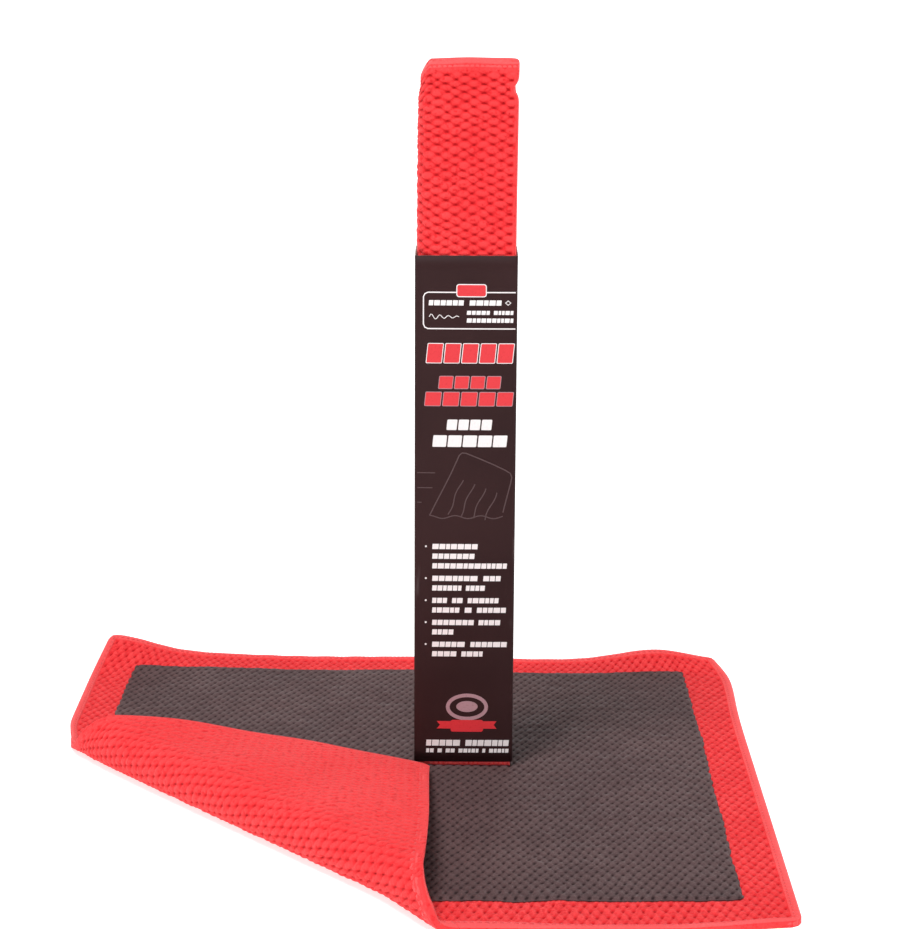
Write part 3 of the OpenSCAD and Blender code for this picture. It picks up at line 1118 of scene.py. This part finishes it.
def dress(body, *rows):
    """Puts (piece, slot, CAD nodes it is drawn for) rows on a body or, if None, bakes them in
    place, and hides the CAD nodes; the slot is not used.
    """
    for piece, slot, *nodes in rows:
        if body:
            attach(piece, body)
        else:
            bend_with_corner(piece)
        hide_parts(*nodes)
    return [piece for piece, *_ in rows]


def build_open_towel():
    cloth, clay, *hems, seams = dress(
        "towel", (open_cloth("laid_cloth", False), "knit", "towel_cloth"),
        (open_clay("laid_clay", False), "clay", "clay_panel"),
        *((open_hem(f"laid_{name}_hem", name), "hem", f"{name}_hem") for name in SIDES),
        (open_stitches("laid_stitches", False), "thread", "hem_thread"))
    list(hems)

    corner, *rest = dress(
        None, (open_cloth("corner_cloth_piece", True), "knit", "corner_cloth", "bend_cloth"),
        (open_clay("corner_clay_piece", True), "clay", "corner_clay", "bend_clay"),
        (open_hem("corner_front_hem_piece", "front", True), "hem", "corner_front_hem"),
        (open_hem("corner_left_hem_piece", "left", True), "hem", "corner_left_hem"),
        (open_stitches("corner_stitches", True), "thread", "corner_thread"))
    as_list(rest)


def build_folded_towel():
    cloth, *rest = dress(
        "folded_towel", (pack_cloth("pack_cloth"), "knit", "folded_cloth"),
        (pack_clay("pack_clay"), "clay", "folded_clay"),
        (pack_end_hem("pack_top_hem", True), "hem", "folded_top_hem"),
        (pack_end_hem("pack_foot_hem", False), "hem", "folded_bottom_hem"),
        (pack_free_hem("pack_outer_hem", True), "hem", "folded_outer_hem"),
        (pack_free_hem("pack_inner_hem", False), "hem", "folded_inner_hem"),
        (pack_stitches("pack_stitches"), "thread", "folded_thread"))
    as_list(rest)


def build_sleeve():
    dress("sleeve", (sleeve_card("sleeve_tube"), "card", "card_sleeve"))
    sleeve_print()
    for name, made in (("sleeve_lap", CARD), ("lap_glue", GLUE)):
        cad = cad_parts[name]
        cad.data.materials.clear()
        cad.data.materials.append(made)


def light(name, kind, at, aim, power, **values):
    data = bpy.data.lights.new(name, kind)
    data.energy = power
    for key, value in values.items():
        setattr(data, key, value)
    lamp = bpy.data.objects.new(name, data)
    bpy.context.scene.collection.objects.link(lamp)
    lamp.location = at
    lamp.rotation_euler = (Vector(aim) - Vector(at)).to_track_quat("-Z", "Y").to_euler()


def build_stage():
    """A pale floor with a low wall far round it, an even sky and two lamps."""
    size, wall_r, wall_h, n = 14, 13.5, 3, 64  # metres, and the wall's panels
    points = np.array([(-size, -size, 0), (size, -size, 0), (size, size, 0), (-size, size, 0)])
    floor = add_mesh("floor", points / MM, [np.array([[0, 1, 2, 3]])],
                     pale_material("pale_floor", 0.60, 0.63, 0.72))
    turn = np.linspace(0, 2 * math.pi, n, endpoint=False)
    points = np.concatenate([np.column_stack([wall_r * np.cos(turn), wall_r * np.sin(turn),
                                              0 * turn + z]) for z in (0, wall_h)])
    i = np.arange(n)
    sides = np.stack([i, i + n, (i + 1) % n + n, (i + 1) % n], 1)
    backdrop = add_mesh("backdrop", points / MM, [sides],
                        pale_material("pale_wall", 0.93, 0.96, 0.5))

    world = bpy.data.worlds.new("studio")
    bpy.context.scene.world = world
    world.use_nodes = True
    background = world.node_tree.nodes["Background"]
    background.inputs["Color"].default_value = (1, 1, 1, 1)
    background.inputs["Strength"].default_value = 0.41
    light("key", "SUN", (-0.5, -0.6, 2), (0, 0, 0.1), 2.2, angle=math.radians(20))
    light("fill", "AREA", (1.3, -1.2, 1.2), (0, 0, 0.1), 5, size=1.4)


def build_camera():
    """The camera, placed and turned so that the towel's edges lie as in the photo."""
    place = (0.02356, -1.00832, 0.39338)
    down, aside, roll = 0.24687, -0.00203, 0.0055
    forward = np.array([math.sin(aside) * math.cos(down), math.cos(aside) * math.cos(down),
                        -math.sin(down)])
    right = np.array([math.cos(aside), -math.sin(aside), 0])
    up = np.cross(right, forward)
    axes = (math.cos(roll) * right + math.sin(roll) * up,
            math.cos(roll) * up - math.sin(roll) * right, -forward)
    data = bpy.data.cameras.new("camera")
    data.sensor_width, data.lens = 36, 96
    data.clip_start, data.clip_end = 0.05, 20
    camera = bpy.data.objects.new("camera", data)
    camera.matrix_world = Matrix([*np.column_stack([*axes, place]).tolist(), [0, 0, 0, 1]])
    bpy.context.scene.collection.objects.link(camera)
    bpy.context.scene.camera = camera


bpy.context.scene.view_settings.view_transform = "Standard"
build_camera()
build_stage()
build_open_towel()
build_folded_towel()
build_sleeve()
